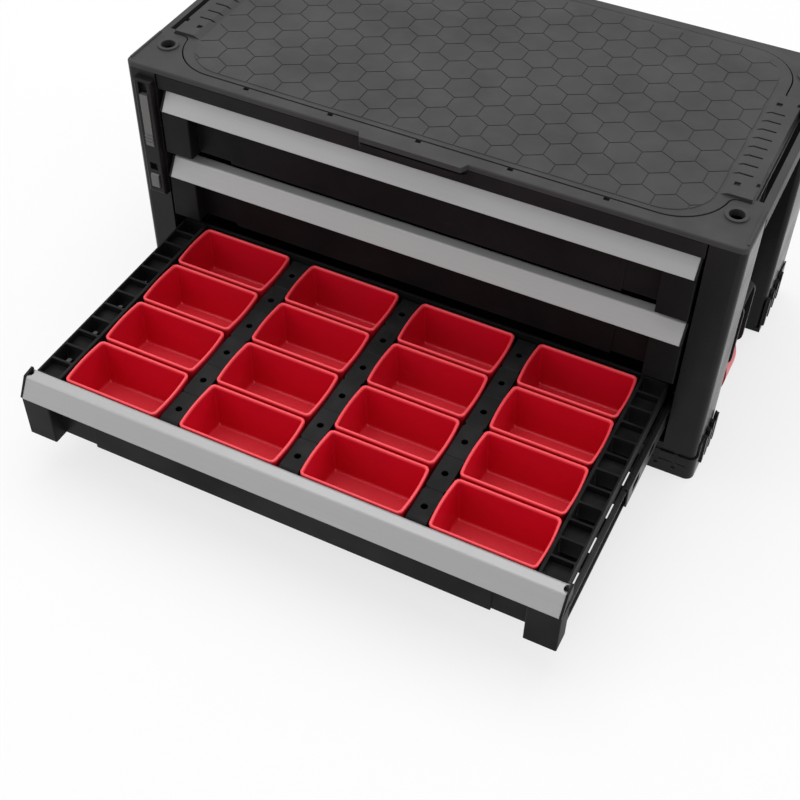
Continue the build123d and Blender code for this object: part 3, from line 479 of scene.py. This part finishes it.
def drawn_metal(name, colour, roughness, metallic, stretch, wear_and_highlight=0.25):
    """Drawn or coated metal: fine lines along one axis in gloss, tone and bump, with edges painted brighter,
    partly as a painted highlight and partly as wear.
    """
    finish = bpy.context.scene.chest_finish
    material, tree, shader, place = new_material(name)
    marks = effect(tree, "Handling marks", place)
    edges = effect(tree, "Soft edges", Radius=finish.edge_radius)
    lines = noise(tree, stretched(tree, place, stretch), 1.0, detail=4.0, roughness=0.7)
    # Edges painted brighter: partly a painted highlight, partly wear such as on the black coated slides
    bright_edge = math_node(tree, "MULTIPLY", edges["Edge"], BRIGHT_EDGE_SHARE)
    scratch = math_node(tree, "MULTIPLY", marks["Scratch"], METAL_SCRATCH_SHARE)
    tone = mixed(tree, mapped(tree, lines, *LINE_RANGE), tuple(v * LINE_TONE for v in colour), colour)
    tone = mixed(tree, bright_edge, tone, lighter(colour, wear_and_highlight))
    tone = mixed(tree, scratch, tone, lighter(colour, wear_and_highlight))
    tree.links.new(tone, shader.inputs["Base Color"])
    line_gloss = mapped(tree, lines, *LINE_RANGE, roughness - LINE_GLOSS_SWING, roughness + LINE_GLOSS_SWING)
    smudge_gloss = mapped(tree, marks["Smudge"], 0.0, 1.0, SMUDGE_GLOSS_SWING, -SMUDGE_GLOSS_SWING)
    tree.links.new(math_node(tree, "ADD", line_gloss, smudge_gloss), shader.inputs["Roughness"])
    shader.inputs["Metallic"].default_value = metallic
    surface = bump(tree, lines, edges["Normal"], LINE_STRENGTH, LINE_DEPTH)
    tree.links.new(surface, shader.inputs["Normal"])
    return material


def bin_plastic():
    """Glossy red plastic: paler at the thin rim, finely hatched on the floor, with thin scratches."""
    finish = bpy.context.scene.chest_finish
    shape = bpy.context.scene.bin_shape
    material, tree, shader, place = new_material("bin_red")
    marks = effect(tree, "Handling marks", place)
    hatch = effect(tree, "Cross hatch", place, Pitch=shape.hatch_pitch)
    grained = effect(tree, "Moulded grain", place, Scale=CLOSE_GRAIN_SCALE)
    axes = tree.nodes.new("ShaderNodeSeparateXYZ")
    tree.links.new(place, axes.inputs[0])
    low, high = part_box(BINS[0])
    floor_top = low[2] + shape.floor
    rim = mapped(tree, axes.outputs["Z"], *[high[2] - depth for depth in RIM_BAND])
    floor = mapped(tree, axes.outputs["Z"], *[floor_top + rise for rise in FLOOR_BAND])
    speck = math_node(tree, "MULTIPLY", floor, mapped(tree, hatch["Height"], *HATCH_RANGE, *HATCH_SHARES))
    scratch = math_node(tree, "MULTIPLY", marks["Scratch"], BIN_SCRATCH_SHARE)
    tone = mixed(tree, marks["Smudge"], finish.bin, tuple(v * BIN_SMUDGE_TONE for v in finish.bin))
    tone = mixed(tree, math_node(tree, "MULTIPLY", speck, HATCH_TINT), tone, finish.bin_rim)
    # Painted light: the thin rim is drawn paler, as if light shone through it
    tone = mixed(tree, rim, tone, finish.bin_rim)
    tone = mixed(tree, scratch, tone, finish.bin_rim)
    tree.links.new(tone, shader.inputs["Base Color"])
    gloss = math_node(tree, "ADD", mapped(tree, marks["Smudge"], 0.0, 1.0, *BIN_GLOSS),
                      math_node(tree, "MULTIPLY", floor, FLOOR_GLOSS_RISE))
    tree.links.new(gloss, shader.inputs["Roughness"])
    shader.inputs["Specular IOR Level"].default_value = BIN_SPECULAR
    lines = math_node(tree, "MULTIPLY", hatch["Height"], floor)
    grain = math_node(tree, "MULTIPLY", grained["Height"], BIN_GRAIN_SHARE)
    flat = tree.nodes.new("ShaderNodeNewGeometry").outputs["Normal"]
    surface = bump(tree, math_node(tree, "ADD", lines, grain), flat, BIN_BUMP_STRENGTH, BIN_BUMP_DEPTH)
    tree.links.new(surface, shader.inputs["Normal"])
    return material


def dress(material, *names):
    """Give CAD nodes one material in every slot."""
    for name in names:
        slots = NODES[name].data.materials
        slots.clear()
        slots.append(material)


def outline(half_x, half_y, corner, bow, steps=7, runs=6):
    """A rounded rectangle, anticlockwise, whose two short sides bulge by bow.

    Each corner is a quarter circle about its own centre, and each side is a straight run of points.
    The bulge adds bow times (1 - (y / half_y) squared), with the sign of x, to points on the short sides.
    """
    turn = np.linspace(0.0, np.pi / 2, steps)
    run = np.linspace(0.0, 1.0, runs + 2)[1:-1]
    centres = np.array([(1, 1), (-1, 1), (-1, -1), (1, -1)]) * (half_x - corner, half_y - corner)
    angles = turn[None, :] + np.arange(4)[:, None] * np.pi / 2
    arcs = centres[:, None, :] + corner * np.stack((np.cos(angles), np.sin(angles)), axis=2)
    starts, ends = arcs[:, -1], np.roll(arcs[:, 0], -1, axis=0)
    sides = starts[:, None, :] + run[None, :, None] * (ends - starts)[:, None, :]
    points = np.concatenate((arcs, sides), axis=1).reshape(-1, 2)
    reach = np.clip((np.abs(points[:, 0]) - (half_x - corner)) / corner, 0.0, 1.0)
    points[:, 0] += np.sign(points[:, 0]) * reach * bow * (1.0 - (points[:, 1] / half_y) ** 2)
    return points


def bin_profile(shape, height):
    """Rows of inset from the rim's outline and height above the foot, from the underside to the floor's top.

    The outer wall leans by the draft over the height; the rim is a half circle across the wall;
    the inner wall leans alike and turns into the floor on a quarter circle.
    """
    lean = shape.draft / height
    foot, inner, half_wall = shape.foot_round, shape.inner_round, shape.wall / 2
    quarter = np.linspace(0.0, np.pi / 2, ROUND_STEPS)
    half = np.linspace(0.0, np.pi, RIM_STEPS)
    rim_z = height - half_wall
    fillet_z = shape.floor + inner
    foot_in = shape.draft - lean * foot
    fillet_in = shape.wall + shape.draft - lean * fillet_z
    rising = np.linspace(2.0 * foot, rim_z - foot, WALL_STEPS)
    falling = np.linspace(rim_z - foot, fillet_z + foot, WALL_STEPS)
    inset = np.concatenate((
        foot_in + foot * (1.0 - np.sin(quarter)),
        lean * (height - rising),
        lean * half_wall + half_wall * (1.0 - np.cos(half)),
        shape.wall + shape.draft - lean * falling,
        fillet_in + inner * (1.0 - np.cos(quarter))))
    level = np.concatenate((
        foot * (1.0 - np.cos(quarter)),
        rising,
        rim_z + half_wall * np.sin(half),
        falling,
        fillet_z - inner * np.sin(quarter)))
    return inset, level


def bin_surface(shape, half_x, half_y, height):
    """Points and faces of a bin: at each row of the profile, the outline is drawn in by the row's inset.

    The corner radius shrinks with the inset down to a least value, and a fan of faces from one point
    closes the underside and the floor.
    """
    inset, level = bin_profile(shape, height)
    radius = np.maximum(shape.corner - inset * CORNER_SHRINK, LEAST_CORNER)
    rows = np.array([outline(half_x - d, half_y - d, r, shape.bow) for d, r in zip(inset, radius)])
    rings, count = rows.shape[:2]
    walls = np.column_stack((rows.reshape(-1, 2), np.repeat(level, count)))
    points = np.vstack(([0.0, 0.0, level[0]], walls, [0.0, 0.0, level[-1]]))
    here = np.arange(count)
    after = np.roll(here, -1)
    starts = 1 + count * np.arange(rings - 1)[:, None]
    quads = np.stack(
        (starts + here, starts + after, starts + count + after, starts + count + here), axis=2)
    last = 1 + count * (rings - 1)
    under = np.column_stack((np.zeros(count, int), 1 + after, 1 + here))
    over = np.column_stack((np.full(count, len(points) - 1), last + here, last + after))
    return points, quads.reshape(-1, 4).tolist() + under.tolist() + over.tolist()


def unit(vector):
    """A vector brought to length 1."""
    return vector / np.linalg.norm(vector)


def standing(right, up, back, place):
    """The matrix of an object at a place, whose axes point right, up and back."""
    matrix = np.eye(4)
    matrix[:3] = np.column_stack((right, up, back, place))
    return Matrix(matrix.tolist())


def new_piece(name, points, faces, material, body):
    """A mesh piece with smooth faces that rides on a body and keeps a material slot of the record."""
    mesh = bpy.data.meshes.new(name)
    mesh.from_pydata(points.tolist(), [], faces)
    mesh.polygons.foreach_set("use_smooth", np.ones(len(mesh.polygons), bool))
    mesh.materials.append(material)
    mesh.update()
    piece = bpy.data.objects.new(name, mesh)
    bpy.context.scene.collection.objects.link(piece)
    weighted = piece.modifiers.new("Even shading", "WEIGHTED_NORMAL")
    weighted.keep_sharp = True
    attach(piece, body)
    return piece


class CHEST_OT_dress_casing(bpy.types.Operator):
    """Give the casing, its posts, feet, top and screws their finishes."""

    bl_idname = "chest.dress_casing"
    bl_label = "Dress the casing"

    def execute(self, context):
        finish = context.scene.chest_finish
        dress(resin("black_resin", finish.casing, roughness=0.52),
              "base_pan", "left_wall", "right_wall", "rear_panel", "front_header")
        dress(resin("post_resin", finish.post, roughness=0.28, grain=1100.0),
              *[f"{corner}_post" for corner in CORNERS], *[f"{corner}_foot" for corner in CORNERS])
        dress(resin("top_resin", finish.top, roughness=0.55, grain=900.0, depth=0.08 * MM, specular=0.22),
              "hex_tray", "top_frame")
        dress(drawn_metal("screw_steel", finish.screw, roughness=0.35, metallic=1.0,
                          stretch=(300.0, 300.0, 300.0)),
              "foot_screws", "latch_screws", "latch_pins")
        return {"FINISHED"}


class CHEST_OT_dress_drawers(bpy.types.Operator):
    """Give the drawer trays, their pulls, caps, slides and the divider strips their finishes."""

    bl_idname = "chest.dress_drawers"
    bl_label = "Dress the drawers"

    def execute(self, context):
        finish = context.scene.chest_finish
        dress(resin("drawer_resin", finish.drawer, roughness=0.5, specular=0.08),
              *[f"{drawer}_tray" for drawer in DRAWERS])
        dress(resin("cap_resin", finish.casing, roughness=0.42),
              *[f"{drawer}_pull_caps" for drawer in DRAWERS])
        dress(resin("divider_resin", finish.divider, roughness=0.48), "bin_dividers")
        dress(drawn_metal("pull_grey", finish.pull, roughness=0.42, metallic=0.25,
                          stretch=(6.0, 900.0, 900.0)),
              *[f"{drawer}_pull" for drawer in DRAWERS])
        dress(drawn_metal("slide_steel", finish.slide, roughness=0.4, metallic=0.0,
                          stretch=(800.0, 8.0, 800.0), wear_and_highlight=0.06),
              *[f"{drawer}_{member}_slides" for drawer in DRAWERS
                for member in ("outer", "middle", "inner")])
        return {"FINISHED"}


class CHEST_OT_make_bins(bpy.types.Operator):
    """Make the lift-out parts bins, each in the place of its solid."""

    bl_idname = "chest.make_bins"
    bl_label = "Make the bins"

    def execute(self, context):
        shape = context.scene.bin_shape
        material = bin_plastic()
        for name in BINS:
            low, high = (np.array(corner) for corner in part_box(name))
            half_x, half_y, height = (high - low) * (0.5, 0.5, 1.0)
            points, faces = bin_surface(shape, half_x - shape.bow, half_y, height)
            points += ((low[0] + high[0]) / 2, (low[1] + high[1]) / 2, low[2])
            piece = new_piece(f"{name}_shell", points, faces, material, name)
            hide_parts(name)
        return {"FINISHED"}


class CHEST_OT_dress_fittings(bpy.types.Operator):
    """Give the lock and the side latches their finishes."""

    bl_idname = "chest.dress_fittings"
    bl_label = "Dress the lock and latches"

    def execute(self, context):
        finish = context.scene.chest_finish
        dress(resin("fitting_resin", finish.casing, roughness=0.4, grain=CLOSE_GRAIN_SCALE),
              "lock_housing", "left_latch_bracket", "right_latch_bracket")
        dress(resin("lock_grey", finish.lock, roughness=0.4, grain=CLOSE_GRAIN_SCALE, specular=0.4),
              "lock_bar", "lock_button")
        dress(resin("lever_red", finish.lever, roughness=0.32, grain=CLOSE_GRAIN_SCALE, specular=0.45,
                    wear_and_highlight=0.1),
              "left_latch_lever", "right_latch_lever")
        return {"FINISHED"}


class CHEST_OT_set_stage(bpy.types.Operator):
    """Set the floor, the lights and the camera."""

    bl_idname = "chest.set_stage"
    bl_label = "Set the stage"

    def execute(self, context):
        scene = context.scene
        stage = scene.stage_setup
        scene.view_settings.view_transform = "Standard"
        self.lay_floor(scene, stage)
        self.light_surround(scene, stage)
        for name, size, place, target in LIGHTS:
            self.hang_light(scene, name, getattr(stage, name), size, place, target)
        self.place_camera(scene, stage)
        return {"FINISHED"}

    def lay_floor(self, scene, stage):
        """A wide flat floor just under the feet: a grid of x and y with z held."""
        span = np.linspace(-FLOOR_HALF, FLOOR_HALF, FLOOR_POINTS)
        x, y = np.meshgrid(span, span)
        points = np.column_stack((x.ravel(), y.ravel(), np.full(x.size, -FLOOR_DROP)))
        cells = np.arange(FLOOR_POINTS - 1)
        corner = (cells[:, None] * FLOOR_POINTS + cells[None, :]).ravel()
        behind = corner + FLOOR_POINTS
        faces = np.column_stack((corner, corner + 1, behind + 1, behind)).tolist()
        mesh = bpy.data.meshes.new("studio_floor")
        mesh.from_pydata(points.tolist(), [], faces)
        mesh.materials.append(self.floor_finish(stage))
        floor = bpy.data.objects.new("studio_floor", mesh)
        scene.collection.objects.link(floor)

    def floor_finish(self, stage):
        """A pale matt floor that keeps the shadow, with plain white mixed in where the camera sees it."""
        material, tree, shader, place = new_material("studio_floor")
        tone = mixed(tree, noise(tree, place, FLOOR_NOISE_SCALE),
                     stage.floor_colour, lighter(stage.floor_colour, FLOOR_TINT))
        tree.links.new(tone, shader.inputs["Base Color"])
        shader.inputs["Roughness"].default_value = FLOOR_ROUGHNESS
        shader.inputs["Specular IOR Level"].default_value = FLOOR_SPECULAR
        white = tree.nodes.new("ShaderNodeEmission")
        white.inputs["Strength"].default_value = 1.0
        share = math_node(tree, "MULTIPLY", seen_directly(tree), stage.floor_glow)
        mix_shaders(tree, share, shader.outputs[0], white.outputs[0],
                    tree.nodes["Material Output"].inputs["Surface"])
        return material

    def light_surround(self, scene, stage):
        """White to the camera and in reflections, and a plain level of light on everything else."""
        world = bpy.data.worlds.new("studio")
        world.use_nodes = True
        tree = world.node_tree
        plain = tree.nodes["Background"]
        plain.inputs["Strength"].default_value = stage.world_light
        seen = tree.nodes.new("ShaderNodeBackground")
        for background in (plain, seen):
            background.inputs["Color"].default_value = WHITE
        mix_shaders(tree, seen_directly(tree), plain.outputs[0], seen.outputs[0],
                    tree.nodes["World Output"].inputs["Surface"])
        scene.world = world

    def hang_light(self, scene, name, power, size, place, target):
        """A square soft light turned to a target."""
        lamp = bpy.data.lights.new(name, "AREA")
        lamp.energy = power
        lamp.size = size
        light = bpy.data.objects.new(name, lamp)
        back = unit(np.subtract(place, target))
        right = unit(np.cross(ALONG_Y, back))
        light.matrix_world = standing(right, np.cross(back, right), back, place)
        scene.collection.objects.link(light)

    def place_camera(self, scene, stage):
        """The camera above the right front corner, turned by its right, up and back directions."""
        lens = bpy.data.cameras.new("studio_camera")
        lens.lens = stage.lens
        lens.sensor_width = SENSOR_WIDTH
        lens.clip_end = CLIP_END
        camera = bpy.data.objects.new("studio_camera", lens)
        camera.matrix_world = standing(CAMERA_RIGHT, CAMERA_UP, CAMERA_BACK, CAMERA_PLACE)
        scene.collection.objects.link(camera)
        scene.camera = camera


class CHEST_PT_looks(bpy.types.Panel):
    """Lists the steps that dress the chest."""

    bl_idname = "CHEST_PT_looks"
    bl_label = "Tool chest looks"
    bl_space_type = "VIEW_3D"
    bl_region_type = "UI"
    bl_category = "Chest"

    def draw(self, context):
        for step in STEPS:
            self.layout.operator(step.bl_idname)
        for group in ("chest_finish", "bin_shape", "stage_setup"):
            settings = getattr(context.scene, group)
            for name in settings.__annotations__:
                self.layout.prop(settings, name)


STEPS = (
    CHEST_OT_dress_casing,
    CHEST_OT_dress_drawers,
    CHEST_OT_make_bins,
    CHEST_OT_dress_fittings,
    CHEST_OT_set_stage,
)
CLASSES = (ChestFinish, BinShape, StageSetup, *STEPS, CHEST_PT_looks)


def register():
    """Register the classes and hang the settings on the scene."""
    for item in CLASSES:
        bpy.utils.register_class(item)
    bpy.types.Scene.chest_finish = bpy.props.PointerProperty(type=ChestFinish)
    bpy.types.Scene.bin_shape = bpy.props.PointerProperty(type=BinShape)
    bpy.types.Scene.stage_setup = bpy.props.PointerProperty(type=StageSetup)


def unregister():
    """Take the settings off the scene and unregister the classes."""
    del bpy.types.Scene.stage_setup
    del bpy.types.Scene.bin_shape
    del bpy.types.Scene.chest_finish
    for item in reversed(CLASSES):
        bpy.utils.unregister_class(item)


def main():
    """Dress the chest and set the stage."""
    register()
    bpy.ops.chest.dress_casing()
    bpy.ops.chest.dress_drawers()
    bpy.ops.chest.make_bins()
    bpy.ops.chest.dress_fittings()
    bpy.ops.chest.set_stage()


if __name__ == "__main__":
    main()
